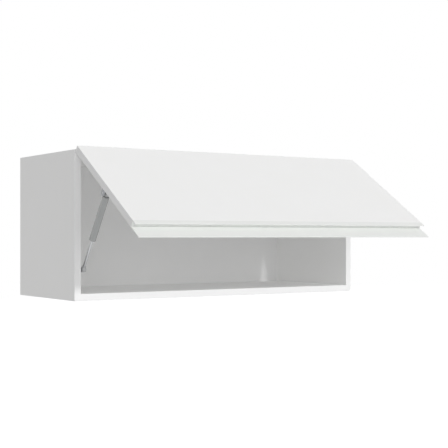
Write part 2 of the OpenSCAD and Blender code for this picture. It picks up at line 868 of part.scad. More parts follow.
module strut_piston() {
    color(steel) on_strut() translate([0, 0, piston_start]) difference() {
        cylinder(r = bore_r - piston_clear, h = piston_l);
        translate([0, 0, -cut]) cylinder(d = rod_d, h = piston_l + 2 * cut);
    }
}

module strut_rod_socket() {
    color(plastic_grey) on_strut() translate([0, 0, strut_open]) mirror([0, 0, 1]) socket(0, rod_grip);
}

// The lower stud turns against the side bracket, which it clears by the seat gap
module strut_lower_stud() {
    color([0.85, 0.86, 0.88]) on_strut() translate([0, 0, strut_open])
        ball_stud(side_face + bracket_t + seat - strut_x, 0);
}

left_side();
right_side();
top_panel();
bottom_panel();
back_panel();
carcass_edge_bands();
wood_dowels();
cam_bolts();
cam_locks();
cam_caps();
back_panel_nails();
hanger_case_left();
hanger_case_right();
hanger_hooks();
hanger_adjusters();
hanger_screws();
hinge_plates();
hinge_arms();
hinge_plate_screws();
hinge_arm_screws();
strut_side_bracket();
strut_side_screws();
door_panel();
door_edge_bands();
handle_profile();
hinge_cups();
hinge_cup_screws();
hinge_pins();
strut_door_bracket();
strut_door_stud();
strut_door_screws();
door_bumpers();
strut_tube();
strut_tube_socket();
strut_gland();
strut_rod();
strut_piston();
strut_rod_socket();
strut_lower_stud();
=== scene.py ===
# %% [markdown]
# # A white wall cabinet whose flap lifts up
#
# The cabinet is a box of white faced boards that hangs on a kitchen wall. One flap closes its
# front. It turns on two concealed hinges under the top board, and one gas strut at the left
# holds it open. A metal profile along the flap's lower edge is the handle.
#
# Each cell models one piece or mixes one finish. Lengths are in metres, and `MM` turns
# millimetres into them. X runs across the cabinet, Y into the wall and Z up. The origin is the
# centre of the rear face, and the flap stands open.

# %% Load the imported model
import json
import math

import bmesh
import bpy
from mathutils import Matrix, Vector


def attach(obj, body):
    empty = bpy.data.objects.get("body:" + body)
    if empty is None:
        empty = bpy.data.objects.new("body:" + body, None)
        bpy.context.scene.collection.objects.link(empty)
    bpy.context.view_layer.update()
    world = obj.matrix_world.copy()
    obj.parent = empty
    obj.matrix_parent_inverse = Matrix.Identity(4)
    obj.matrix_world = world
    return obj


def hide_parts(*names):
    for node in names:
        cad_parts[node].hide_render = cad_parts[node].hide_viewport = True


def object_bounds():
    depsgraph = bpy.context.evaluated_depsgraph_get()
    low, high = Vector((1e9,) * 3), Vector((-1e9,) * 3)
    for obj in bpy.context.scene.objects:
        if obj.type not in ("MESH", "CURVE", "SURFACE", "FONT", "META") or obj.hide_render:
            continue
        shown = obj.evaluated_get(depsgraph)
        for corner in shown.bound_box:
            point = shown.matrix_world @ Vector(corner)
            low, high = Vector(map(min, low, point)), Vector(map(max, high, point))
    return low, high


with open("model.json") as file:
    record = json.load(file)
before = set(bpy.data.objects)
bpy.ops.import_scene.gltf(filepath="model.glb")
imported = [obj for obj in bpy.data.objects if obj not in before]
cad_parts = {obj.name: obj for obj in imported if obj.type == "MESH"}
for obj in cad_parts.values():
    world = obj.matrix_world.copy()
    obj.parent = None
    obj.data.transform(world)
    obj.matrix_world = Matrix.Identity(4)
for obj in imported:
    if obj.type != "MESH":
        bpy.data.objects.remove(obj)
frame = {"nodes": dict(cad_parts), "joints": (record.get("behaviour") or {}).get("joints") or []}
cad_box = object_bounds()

MM = 0.001
nodes = frame["nodes"]
joints = {joint["name"]: joint for joint in frame["joints"]}
print(len(nodes), "pieces in the construction, joints:", ", ".join(joints))

# %% [markdown]
# ## The camera
# The photographer stood at the left of the cabinet, a little below its middle, and held the
# camera level. Upright edges stay upright in the picture, so the camera isn't tilted. A small
# vertical shift of the lens puts the cabinet where it is in the picture.

# %% Camera
PICTURE_PX, FOCAL_PX, HORIZON_PX = 448, 1039.8, 235.67
SENSOR = 36

camera_data = bpy.data.cameras.new("camera")
camera_data.sensor_width = SENSOR
camera_data.lens = FOCAL_PX * SENSOR / PICTURE_PX
camera_data.shift_y = (HORIZON_PX - PICTURE_PX / 2) / PICTURE_PX
camera = bpy.data.objects.new("camera", camera_data)
bpy.context.scene.collection.objects.link(camera)
camera.location = (-1.3978, -2.4183, -0.023)
camera.rotation_euler = (math.radians(90), 0, math.radians(-33.51))
bpy.context.scene.camera = camera
print("lens", round(camera_data.lens, 1), "mm, shift", round(camera_data.shift_y, 3))

# %% [markdown]
# ## Where things are
# The flap and the strut lie at an angle. It is easier to draw them upright and to turn them
# into place afterwards, as a joiner works on a bench. `FLAP` leads from the shut flap to the
# open one, and `STRUT` from an upright strut at the origin to the leaning one. Both are worked
# out from the joints. The box of a piece tells where its neighbours go.

# %% Frames of the flap and of the strut
lift_axis = Vector(joints["flap_lift"]["pos_m"])
open_angle = math.radians(joints["flap_lift"]["range_deg"][0])
FLAP = (Matrix.Translation(lift_axis) @ Matrix.Rotation(open_angle, 4, "X")
        @ Matrix.Translation(-lift_axis))

upper_ball = Vector(joints["strut_turn"]["pos_m"])
along = Vector(joints["strut_slide"]["axis"]).normalized()
across = Vector((1, 0, 0))
STRUT = (Matrix.Translation(upper_ball)
         @ Matrix((across, along.cross(across), along)).transposed().to_4x4())
UPRIGHT = Matrix.Identity(4)
X, Y, Z = Vector((1, 0, 0)), Vector((0, 1, 0)), Vector((0, 0, 1))
print("the flap is open by", round(-math.degrees(open_angle), 1), "degrees")


# %% Boxes of the pieces
def corners(points):
    """The lowest and the highest corner round some points."""
    return (Vector([min(p[i] for p in points) for i in range(3)]),
            Vector([max(p[i] for p in points) for i in range(3)]))


def box_of(node, place=UPRIGHT):
    """The corners of a node in the frame that place leads from."""
    back = place.inverted()
    return corners([back @ v.co for v in nodes[node].data.vertices])


def boxes_of(node, place=UPRIGHT):
    """The corners of each separate solid in a node, such as each screw of a set."""
    back = place.inverted()
    mesh = nodes[node].data
    spots = [tuple(round(c * 1e6) for c in v.co) for v in mesh.vertices]
    parent = {spot: spot for spot in spots}

    def root(spot):
        while parent[spot] != spot:
            spot = parent[spot]
        return spot

    for face in mesh.polygons:
        first, *others = [root(spots[i]) for i in face.vertices]
        for other in others:
            parent[root(other)] = first
    groups = {}
    for vertex, spot in zip(mesh.vertices, spots):
        groups.setdefault(root(spot), []).append(back @ vertex.co)
    return [corners(points) for points in groups.values()]


print("the strut is", round(box_of("strut_tube", STRUT)[1].x * 2 / MM, 1), "mm thick")

# %% [markdown]
# ## Working by hand
# A piece starts as a primitive at its size and place. In edit mode, faces or edges are picked
# by where they are and which way they look, and then extruded, cut or bevelled. An operator
# acts on all that is selected, so everything is deselected first. At the end the place is
# written into the mesh, which leaves the object itself at the origin.


# %% Start a piece
def alone(piece):
    """Select only this piece, in object mode."""
    if bpy.context.object and bpy.context.object.mode != "OBJECT":
        bpy.ops.object.mode_set(mode="OBJECT")
    bpy.ops.object.select_all(action="DESELECT")
    piece.select_set(True)
    bpy.context.view_layer.objects.active = piece
    return piece


def settle(piece, place=UPRIGHT):
    """Turn a piece into place and write that into its mesh."""
    alone(piece)
    piece.matrix_world = place @ piece.matrix_world
    bpy.ops.object.transform_apply(location=True, rotation=True, scale=True)
    return piece


def add(shape, name, **settings):
    """Add a primitive and name it."""
    bpy.ops.object.select_all(action="DESELECT")
    getattr(bpy.ops.mesh, f"primitive_{shape}_add")(**settings)
    piece = bpy.context.object
    piece.name = piece.data.name = name
    return settle(piece)


def add_box(name, low, high):
    """A box between two corners."""
    low, high = Vector(low), Vector(high)
    return add("cube", name, size=1, location=(low + high) / 2, scale=high - low)


print("pieces start as primitives")


# %% Shape it in edit mode
def edit(piece):
    alone(piece)
    bpy.ops.object.mode_set(mode="EDIT")


def pick_faces(test):
    """Select the faces whose middle and normal pass a test."""
    bpy.ops.mesh.select_mode(type="FACE")
    bpy.ops.mesh.select_all(action="DESELECT")
    mesh = bpy.context.object.data
    shape = bmesh.from_edit_mesh(mesh)
    for face in shape.faces:
        face.select_set(test(face.calc_center_median(), face.normal))
    shape.select_flush(True)
    bmesh.update_edit_mesh(mesh)


def pick_edges(test):
    """Select the edges that pass a test."""
    bpy.ops.mesh.select_mode(type="EDGE")
    bpy.ops.mesh.select_all(action="DESELECT")
    mesh = bpy.context.object.data
    shape = bmesh.from_edit_mesh(mesh)
    for side in shape.edges:
        if test(side):
            side.select_set(True)
    bmesh.update_edit_mesh(mesh)


def slice_at(spot, normal):
    """Draw a line of edges right round the piece, where a plane cuts it."""
    bpy.ops.mesh.select_all(action="SELECT")
    bpy.ops.mesh.bisect(plane_co=spot, plane_no=normal)


def push(move):
    """Extrude the selected faces."""
    bpy.ops.mesh.extrude_region_move(TRANSFORM_OT_translate={"value": tuple(move)})


def break_edges(piece, width, shortest=5 * MM, segments=2):
    """Round the sharp edges that are long enough to be seen or felt."""
    edit(piece)
    pick_edges(lambda side: side.is_manifold and side.calc_length() > shortest
               and side.calc_face_angle() > math.radians(40))
    bpy.ops.mesh.bevel(offset=width, segments=segments, affect="EDGES", clamp_overlap=False)
    bpy.ops.object.mode_set(mode="OBJECT")
    return piece


print("faces and edges are picked in code")

# %% [markdown]
# ## From a drilled board to a soft edged one
# The construction already holds each board with its drillings at the right place, so drawing
# them again would only bring mistakes. A copy of the board is taken instead. Its loose
# triangles are merged and flat faces are joined, and then its long edges are broken as a
# joiner does with fine paper. The original stays untouched and is hidden.


# %% Copy a construction piece
def merge_points(piece, reach):
    """Merge points that lie within reach of each other, and leave the piece in edit mode."""
    edit(piece)
    bpy.ops.mesh.select_mode(type="VERT")
    bpy.ops.mesh.select_all(action="SELECT")
    bpy.ops.mesh.remove_doubles(threshold=reach)
    return piece


def copy_of(node, name, width, shortest=5 * MM):
    """A merged copy of a construction piece, with its edges broken."""
    piece = bpy.data.objects.new(name, nodes[node].data.copy())
    bpy.context.scene.collection.objects.link(piece)
    alone(piece)
    bpy.ops.mesh.customdata_custom_splitnormals_clear()
    piece.data.name = name
    piece.data.materials.clear()
    merge_points(piece, 0.002 * MM)
    bpy.ops.mesh.dissolve_limited(angle_limit=math.radians(1))
    return alone(merge_points(break_edges(piece, width, shortest), 0.002 * MM))


def smooth(piece):
    """Shade round stretches smoothly, and let the large flat faces stay flat beside them."""
    alone(piece)
    bpy.ops.object.shade_smooth_by_angle(angle=math.radians(32))
    weighted = piece.modifiers.new("flat faces first", "WEIGHTED_NORMAL")
    weighted.keep_sharp = True
    bpy.ops.object.modifier_apply(modifier=weighted.name)


def fit(piece, body, material, slot, *replaced):
    """Shade a finished piece, give it its finish, and hang it on the body that it moves with."""
    smooth(piece)
    piece.data.materials.clear()
    piece.data.materials.append(material)
    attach(piece, body)
    for node in replaced:
        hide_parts(node)
    return piece


def dress(node, material):
    """Give a construction piece a finish and leave its shape alone."""
    for slot in nodes[node].material_slots:
        slot.link = "OBJECT"
        slot.material = material


print("copies are merged before they are softened")

# %% [markdown]
# ## Mixing finishes
# A finish is a small net of shader nodes. Sums between sockets are easier to read as plain
# Python, so `Value` stands for one socket and knows how to add, multiply and compare. `Net`
# holds the nodes, and its one method `node` makes any other kind of node.


# %% Values and nets
class Value:
    """One socket in a net of shader nodes."""

    def __init__(self, net, socket):
        self.net, self.socket = net, socket

    def math(self, operation, first, second):
        return self.net.node("ShaderNodeMath", {"operation": operation}, {0: first, 1: second})

    def __add__(self, other):
        return self.math("ADD", self, other)

    def __sub__(self, other):
        return self.math("SUBTRACT", self, other)

    def __rsub__(self, other):
        return self.math("SUBTRACT", other, self)

    def __mul__(self, other):
        return self.math("MULTIPLY", self, other)

    def __gt__(self, other):
        return self.math("GREATER_THAN", self, other)

    def __lt__(self, other):
        return self.math("LESS_THAN", self, other)

    def __abs__(self):
        return self.math("ABSOLUTE", self, 0)

    __radd__ = __add__
    __rmul__ = __mul__


class Net:
    """The nodes of a material or of the world."""

    def __init__(self, owner):
        owner.use_nodes = True
        self.tree = owner.node_tree

    def wire(self, node, inputs):
        for name, value in inputs.items():
            if isinstance(value, Value):
                self.tree.links.new(value.socket, node.inputs[name])
            else:
                node.inputs[name].default_value = value

    def node(self, kind, settings=None, inputs=None, out=0):
        node = self.tree.nodes.new(kind)
        for name, value in (settings or {}).items():
            if name == "stops":
                for stop, (place, colour) in zip(node.color_ramp.elements, value):
                    stop.position, stop.color = place, colour
            else:
                setattr(node, name, value)
        self.wire(node, inputs or {})
        return Value(self, node.outputs[out])


print("sockets can be added and compared")


# %% Finishes
class Finish(Net):
    """A material whose shader is fed from patterns in space."""

    def __init__(self, name, **constants):
        self.material = bpy.data.materials.new(name)
        super().__init__(self.material)
        self.shader = self.tree.nodes["Principled BSDF"]
        self.spot = self.node("ShaderNodeTexCoord", out="Object")
        self.feed({key.replace("_", " "): value for key, value in constants.items()})

    def feed(self, inputs):
        self.wire(self.shader, inputs)

    def distance(self, start, direction):
        """How far the spot lies from start, along a direction."""
        reach = self.node("ShaderNodeVectorMath", {"operation": "DOT_PRODUCT"},
                          {0: self.spot, 1: direction}, out="Value")
        return reach - start.dot(direction)

    def placed(self, stretch, turn):
        """The spot on a pattern that is stretched along its own axes and then turned."""
        turned = self.node("ShaderNodeMapping", None, {"Vector": self.spot, "Rotation": turn})
        return self.node("ShaderNodeMapping", None, {
            "Vector": turned, "Scale": tuple(1 / share for share in stretch)})

    def noise(self, size, detail=2, stretch=(1, 1, 1), turn=(0, 0, 0)):
        """Noise from 0 to 1 in clouds about size wide."""
        return self.node("ShaderNodeTexNoise", None, {
            "Vector": self.placed(stretch, turn), "Scale": 1 / size, "Detail": detail})

    def mix(self, share, first, second):
        return self.node("ShaderNodeMix", {"data_type": "RGBA"}, {0: share, 6: first, 7: second}, out=2)

    def bump(self, height, depth):
        """Raise the surface by depth where height is 1."""
        self.feed({"Normal": self.node("ShaderNodeBump", None, {"Height": height, "Distance": depth})})


def tone(red, green=None, blue=None):
    """A colour as a picture writes it, from 0 to 255, as light. One number makes a grey."""
    levels = (red, red, red) if green is None else (red, green, blue)
    return tuple(((level / 255 + 0.055) / 1.055) ** 2.4 for level in levels) + (1,)


print("a tone of 238 is", round(tone(238)[0], 3), "of the light")

# %% [markdown]
# ## The studio
# The key light stands in front of the cabinet, slightly to the right and 22 degrees up. In the
# picture the flap's shadow line on the left side gives that height. A second, very broad light
# comes from the front left and reaches into the open cabinet. White walls send light from
# everywhere else. Inside, white boards face each other and pass the light on many times, so
# twelve of these steps are worked out. The cabinet hangs high over a pale floor, so it can also
# be looked at from below. The camera sees the walls as pure white, and so do the metal pieces.

# %% Light, walls and floor
KEY_FROM, FILL_FROM = Vector((0.13, -1, 0.4)), Vector((-0.25, -1, 0.12))
KEY_LIGHT, FILL_LIGHT, WALL_LIGHT, FLOOR_LIGHT = 0.34, 0.285, 0.43, 0.285
KEY_SOFTNESS, FILL_SOFTNESS = 4, 60
FLOOR_DROP = 3.2

scene = bpy.context.scene
scene.view_settings.view_transform = "Standard"
scene.cycles.diffuse_bounces = 12


def distant_light(name, origin, level, softness):
    """A far light. Level 1 makes a white surface that faces it white."""
    data = bpy.data.lights.new(name, "SUN")
    data.energy = level * math.pi
    data.angle = math.radians(softness)
    light = bpy.data.objects.new(name, data)
    light.rotation_euler = origin.to_track_quat("Z", "Y").to_euler()
    scene.collection.objects.link(light)


distant_light("key", KEY_FROM, KEY_LIGHT, KEY_SOFTNESS)
distant_light("fill", FILL_FROM, FILL_LIGHT, FILL_SOFTNESS)


def seen(net):
    """1 for what the camera sees, straight or in a mirror, and 0 for light on the object."""
    rays = [net.node("ShaderNodeLightPath", out=f"Is {kind} Ray")
            for kind in ("Camera", "Glossy", "Transmission")]
    return rays[0] + rays[1] + rays[2] > 0


scene.world = bpy.data.worlds.new("walls")
walls = Net(scene.world)
walls.wire(walls.tree.nodes["Background"], {
    "Color": (1, 1, 1, 1), "Strength": WALL_LIGHT + (1 - WALL_LIGHT) * seen(walls)})

floor_paint = Finish("floor_paint", Roughness=0.9, Specular_IOR_Level=0.1, Emission_Strength=1)
floor_cloud = floor_paint.noise(0.5, 3)
FLOOR_SEEN = 0.78
floor_paint.feed({
    "Base Color": floor_paint.mix(floor_cloud, tone(180), tone(184)),
    "Emission Color": floor_paint.mix(seen(floor_paint), (FLOOR_LIGHT,) * 3 + (1,), (FLOOR_SEEN,) * 3 + (1,))})
floor = add("plane", "floor", size=100, location=(0, 0, cad_box[0][2] - FLOOR_DROP))
floor.data.materials.append(floor_paint.material)
print("key light", round(math.degrees(math.asin(KEY_FROM.normalized().z))), "degrees up")

# %% [markdown]
# ## White faced board
# The boards are pressed wood chips between two white resin faces. The face is satin, with a
# pearl so fine that only its soft sheen shows, and over a whole board the white wanders by a
# hair. On every sawn or drilled edge the chips are bare, unless a band covers them. The finish
# therefore measures how deep a spot lies between the two faces, and shows chips there.


# %% Board finish
def bare_chips(finish):
    """Colour and relief of pressed chips: each cell of the pattern is one chip."""
    CHIP = 1.6 * MM
    chip = finish.node("ShaderNodeTexVoronoi", None, {"Vector": finish.spot, "Scale": 1 / CHIP}, out="Color")
    dust = finish.noise(0.5 * MM, 3)
    shade = chip * 0.6 + dust * 0.4
    colour = finish.mix(shade, tone(160, 124, 86), tone(224, 199, 162))
    return colour, shade


def faced_board(node, facing, white, place=UPRIGHT):
    """Board with white faces that look along facing, in the frame of place."""
    SKIN = 0.3 * MM
    low, high = box_of(node, place)
    half = abs((high - low).dot(facing)) / 2
    middle = place @ ((low + high) / 2)
    finish = Finish(f"{node}_board", Specular_IOR_Level=0.25)
    cloud = finish.noise(90 * MM, 3)
    pearl = finish.noise(0.5 * MM, 3)
    chips, relief = bare_chips(finish)
    bare = abs(finish.distance(middle, place.to_3x3() @ facing)) < half - SKIN
    face = finish.mix(cloud, tone(white - 1, white - 1, white - 2), tone(white + 2))
    finish.feed({
        "Base Color": finish.mix(bare, face, chips),
        "Roughness": 0.48 + 0.06 * cloud + 0.05 * pearl + 0.3 * bare})
    finish.bump(pearl * 0.06 + relief * bare, 0.25 * MM)
    return finish.material


carcass_boards = {"left_side": X, "right_side": X, "top_panel": Z, "bottom_panel": Z}
WHITE = 248
for node, facing in carcass_boards.items():
    board = copy_of(node, f"{node}_faced", 0.25 * MM)
    fit(board, "carcass", faced_board(node, facing, WHITE), "carcass_board", node)
    print(board.name, len(board.data.polygons), "faces")

# %% [markdown]
# ## Edge bands
# A band is a strip of white plastic, 0.8 mm thick, glued over a sawn edge. The machine that
# trims it leaves its outer edges slightly round, and a hairline shows where it meets the
# board's face. Each strip is a box whose outer face is picked, and the edges round that face
# are bevelled.

# %% Band finish
band_finish = Finish("white_band", Specular_IOR_Level=0.25)
band_cloud = band_finish.noise(60 * MM, 2)
band_grain = band_finish.noise(0.8 * MM, 2)
band_finish.feed({
    "Base Color": band_finish.mix(band_cloud, tone(WHITE - 6), tone(WHITE - 4)),
    "Roughness": 0.48 + 0.08 * band_grain})
band_finish.bump(band_grain, 0.008 * MM)
print("band finish ready")


# %% Bands round the carcass and the flap
def gather(name, pieces):
    """Join pieces that don't touch into one object."""
    alone(pieces[0])
    for piece in pieces:
        piece.select_set(True)
    bpy.ops.object.join()
    pieces[0].name = pieces[0].data.name = name
    return pieces[0]


def strip(start, end, outward, place=UPRIGHT):
    """One strip between two corners, rounded along the face that looks outward."""
    ROUND = 0.5 * MM
    piece = add_box("strip", start, end)
    edit(piece)
    pick_faces(lambda middle, normal: normal.dot(outward) > 0.9)
    bpy.ops.mesh.bevel(offset=ROUND, segments=3, affect="EDGES")
    return settle(piece, place)


def cut_out(piece, tool):
    """Cut the shape of the tool out of the piece."""
    alone(piece)
    bite = piece.modifiers.new("bite", "BOOLEAN")
    bite.operation, bite.solver, bite.object = "DIFFERENCE", "EXACT", tool
    bpy.ops.object.modifier_apply(modifier=bite.name)
    bpy.data.objects.remove(tool)
    return piece


low, high = box_of("carcass_edge_bands")
strips = []
for node in carcass_boards:
    start, end = box_of(node)
    strips.append(strip((start.x, low.y, start.z), (end.x, start.y, end.z), -Y))
    if carcass_boards[node] == X:
        strips.append(strip((start.x, low.y, low.z), (end.x, high.y, start.z), -Z))
fit(gather("carcass_bands", strips), "carcass", band_finish.material, "edge_band", "carcass_edge_bands")

EAR_ROOM = 3.6 * MM
low, high = box_of("door_edge_bands", FLAP)
start, end = box_of("door_panel", FLAP)
flap_bands = gather("flap_bands", [
    strip((low.x, start.y, start.z), (start.x, end.y, high.z), -X, FLAP),
    strip((end.x, start.y, start.z), (high.x, end.y, high.z), X, FLAP),
    strip((start.x, start.y, end.z), (end.x, end.y, high.z), Z, FLAP)])
for low, high in boxes_of("hinge_pins", FLAP):
    middle = (low + high) / 2
    notch = add_box("notch", (low.x, middle.y - EAR_ROOM, middle.z), (high.x, middle.y + 9 * MM, middle.z + 9 * MM))
    cut_out(flap_bands, settle(notch, FLAP))
fit(flap_bands, "flap", band_finish.material, "edge_band", "door_edge_bands")
print("bands cut to length")

# %% [markdown]
# ## The flap
# The flap is one board like the others, with a saw groove in its lower edge for the handle,
# and round sinkings at the back for the hinge cups.

# %% Flap board
flap_board = copy_of("door_panel", "flap_faced", 0.2 * MM)
fit(flap_board, "flap", faced_board("door_panel", Y, WHITE + 2, FLAP), "door_board", "door_panel")
print(flap_board.name, len(flap_board.data.polygons), "faces")

# %% [markdown]
# ## The back panel
# A thin hardboard closes the rear. It is painted white on the side that the user sees. The
# other side goes against the wall and stays brown, with fine fibres in all directions. It sits
# in a rebate, and nails along the top and the bottom hold it.

# %% Back panel
back_finish = Finish("hardboard", Specular_IOR_Level=0.4)
low, high = box_of("back_panel")
PAINT = 0.35 * MM
unpainted = back_finish.distance(Vector((0, low.y + PAINT, 0)), Y) > 0
fibres = back_finish.noise(1.2 * MM, 4, stretch=(3, 1, 1)) * 0.5 + back_finish.noise(2 * MM, 4, stretch=(1, 1, 4)) * 0.5
sheet_cloud = back_finish.noise(70 * MM, 2)
brown = back_finish.mix(fibres, tone(146, 112, 80), tone(192, 156, 116))
painted = back_finish.mix(sheet_cloud, tone(WHITE - 7), tone(WHITE - 4))
back_finish.feed({
    "Base Color": back_finish.mix(unpainted, painted, brown),
    "Roughness": 0.42 + 0.06 * sheet_cloud + 0.3 * unpainted})
back_finish.bump(fibres * 0.1 + fibres * unpainted * 0.9, 0.12 * MM)
fit(copy_of("back_panel", "back_sheet", 0.2 * MM), "carcass", back_finish.material, "back_board", "back_panel")
print("back panel", round((high.x - low.x) / MM), "by", round((high.z - low.z) / MM), "mm")

# %% [markdown]
# ## The handle
# The handle is one long aluminium profile. Its web lies on the flap's lower edge, and a tongue
# holds it in the groove. A short lip hangs down at the front and a longer flange at the back, so
# fingers reach in between. The web is a box that is cut by planes into strips. The outer strips
# of its lower face are extruded into the lip and the flange, and the middle strip of its upper
# face into the tongue. White powder coat covers it, with the fine orange peel of a baked
# coating and the least touch of green.

# %% Handle profile
PROFILE_WALL, LIP_H, TONGUE_T = 2 * MM, 13 * MM, 2.2 * MM
low, high = box_of("handle_profile", FLAP)
web_top = box_of("door_panel", FLAP)[0].z
web_low = web_top - PROFILE_WALL
middle_y = (low.y + high.y) / 2
BAND_T = 0.8 * MM

handle = add_box("handle_rail", (low.x, low.y, web_low), (high.x, high.y, web_top))
edit(handle)
for y in (low.y + PROFILE_WALL, middle_y - TONGUE_T / 2, middle_y + TONGUE_T / 2, high.y - PROFILE_WALL):
    slice_at((0, y, 0), Y)
for x in (low.x + BAND_T, high.x - BAND_T):
    slice_at((x, 0, 0), X)
pick_faces(lambda middle, normal: normal.z < -0.9 and middle.y < low.y + PROFILE_WALL)
push((0, 0, PROFILE_WALL - LIP_H))
pick_faces(lambda middle, normal: normal.z < -0.9 and middle.y > high.y - PROFILE_WALL)
push((0, 0, low.z - web_low))
pick_faces(lambda middle, normal: normal.z > 0.9 and abs(middle.y - middle_y) < TONGUE_T / 2
           and low.x + BAND_T < middle.x < high.x - BAND_T)
push((0, 0, high.z - web_top))
bpy.ops.mesh.select_all(action="SELECT")
bpy.ops.mesh.dissolve_limited(angle_limit=math.radians(1))
break_edges(handle, 0.4 * MM, shortest=1.5 * MM, segments=3)
settle(handle, FLAP)

powder = Finish("white_powder_coat", Specular_IOR_Level=0.5)
peel = powder.noise(1.6 * MM, 2)
powder_cloud = powder.noise(120 * MM, 2)
powder.feed({
    "Base Color": powder.mix(powder_cloud, tone(238, 240, 238), tone(241, 242, 240)),
    "Roughness": 0.34 + 0.08 * peel})
powder.bump(peel, 0.03 * MM)
fit(handle, "flap", powder.material, "handle_white", "handle_profile")
print("handle", round((high.x - low.x) / MM), "mm long")

# %% [markdown]
# ## Turned pieces
# The strut's tube and rod, the ball studs and the screws are round. A lathe makes them from a
# bar, one diameter after the other. Here a filled circle is extruded along Z, and each new end
# face is resized to the next radius. A bar that turns back on itself becomes a hollow.


# %% Lathe
def lathe(name, profile, sides=48):
    """Turn (radius, height) pairs about Z."""
    (radius, height), *steps = profile
    piece = add("circle", name, vertices=sides, radius=radius, fill_type="NGON", location=(0, 0, height))
    edit(piece)
    bpy.ops.mesh.select_mode(type="FACE")
    bpy.ops.mesh.select_all(action="SELECT")
    for next_radius, next_height in steps:
        push((0, 0, next_height - height))
        share = next_radius / radius
        bpy.ops.transform.resize(value=(share, share, 1), center_override=(0, 0, next_height))
        radius, height = next_radius, next_height
    bpy.ops.mesh.select_all(action="SELECT")
    bpy.ops.mesh.normals_make_consistent(inside=False)
    bpy.ops.object.mode_set(mode="OBJECT")
    return piece


LIE_ALONG_X = Matrix.Rotation(math.radians(90), 4, "Y")
print("a lathe turns about Z, and the bar is then laid where it belongs")

# %% [markdown]
# ## Tube and rod of the gas strut
# The tube is drawn steel under silver grey paint with a clear gloss over it. A groove is rolled
# in near its lower end to hold the seal, and the end is rolled over. The rod is ground and
# plated, and the faint rings of grinding across it soften its shine.

# %% Tube
low, high = box_of("strut_tube", STRUT)
tube_r = high.x
MOUTH_R, TUBE_WALL, ROLL = 4.5 * MM, 1 * MM, 0.8 * MM
CROWN, GROOVE_UP, GROOVE_W, GROOVE_IN = 1.5 * MM, 13 * MM, 2.4 * MM, 0.5 * MM
groove = high.z - GROOVE_UP
tube = lathe("strut_cylinder_tube", [
    (tube_r - CROWN, low.z), (tube_r - CROWN / 3, low.z + CROWN / 3), (tube_r, low.z + CROWN),
    (tube_r, groove), (tube_r - GROOVE_IN, groove + GROOVE_W / 3),
    (tube_r - GROOVE_IN, groove + 2 * GROOVE_W / 3), (tube_r, groove + GROOVE_W),
    (tube_r, high.z - ROLL), (tube_r - ROLL / 3, high.z - ROLL / 3), (tube_r - ROLL, high.z),
    (MOUTH_R, high.z), (MOUTH_R, high.z - TUBE_WALL)])
settle(tube, STRUT)

strut_paint = Finish("silver_grey_paint", Metallic=0.5, Coat_Weight=0.7, Coat_Roughness=0.12)
lacquer = strut_paint.noise(1.4 * MM, 2)
paint_cloud = strut_paint.noise(30 * MM, 2)
strut_paint.feed({
    "Base Color": strut_paint.mix(paint_cloud, tone(148, 150, 150), tone(156, 158, 158)),
    "Roughness": 0.26 + 0.08 * lacquer})
strut_paint.bump(lacquer, 0.02 * MM)
fit(tube, "strut_cylinder", strut_paint.material, "strut_paint", "strut_tube")
print("tube", round((high.z - low.z) / MM), "mm")

# %% Rod
low, high = box_of("strut_rod", STRUT)
rod_r = high.x
CHAMFER = 0.4 * MM
rod = lathe("strut_plunger_rod", [
    (rod_r - CHAMFER, low.z), (rod_r, low.z + CHAMFER), (rod_r, high.z - CHAMFER), (rod_r - CHAMFER, high.z)])
settle(rod, STRUT)


def metal(name, darkest, brightest, roughness, grain=(1, 1, 1), turn=(0, 0, 0), depth=0.01 * MM):
    """Bare or plated metal. The grain stretches its fine marks along an axis."""
    finish = Finish(name, Metallic=1.0)
    marks = finish.noise(0.35 * MM, 3, grain, turn)
    haze = finish.noise(9 * MM, 3)
    finish.feed({
        "Base Color": finish.mix(haze, tone(*darkest), tone(*brightest)),
        "Roughness": roughness + 0.14 * marks + 0.08 * haze})
    finish.bump(marks, depth)
    return finish.material


lean = math.atan2(along.y, along.z)
rod_chrome = metal("rod_chrome", (184, 186, 188), (196, 197, 199), 0.27, grain=(12, 12, 1), turn=(lean, 0, 0),
                   depth=0.003 * MM)
fit(rod, "strut_plunger", rod_chrome, "rod_chrome", "strut_rod")
print("rod", round((high.z - low.z) / MM), "mm")

# %% [markdown]
# ## Ball joints
# Each end of the strut is a plastic socket that snaps over a steel ball, so the strut can turn
# a little in all directions. The socket is a short barrel across the strut, hollowed to the
# ball, with a neck that takes the rod. The ball stands on a neck and a hexagon for the spanner.

# %% Sockets
BALL_R, BARREL_R, BARREL_W, MOUTH = 4 * MM, 6.5 * MM, 10 * MM, 2.7 * MM
NECK_R, NECK_START = 4.5 * MM, 4.6 * MM


def weld(piece, other):
    """Join two pieces that overlap into one closed skin."""
    alone(piece)
    union = piece.modifiers.new("union", "BOOLEAN")
    union.operation, union.solver, union.object = "UNION", "EXACT", other
    bpy.ops.object.modifier_apply(modifier=union.name)
    bpy.data.objects.remove(other)
    return alone(merge_points(piece, 0.002 * MM))


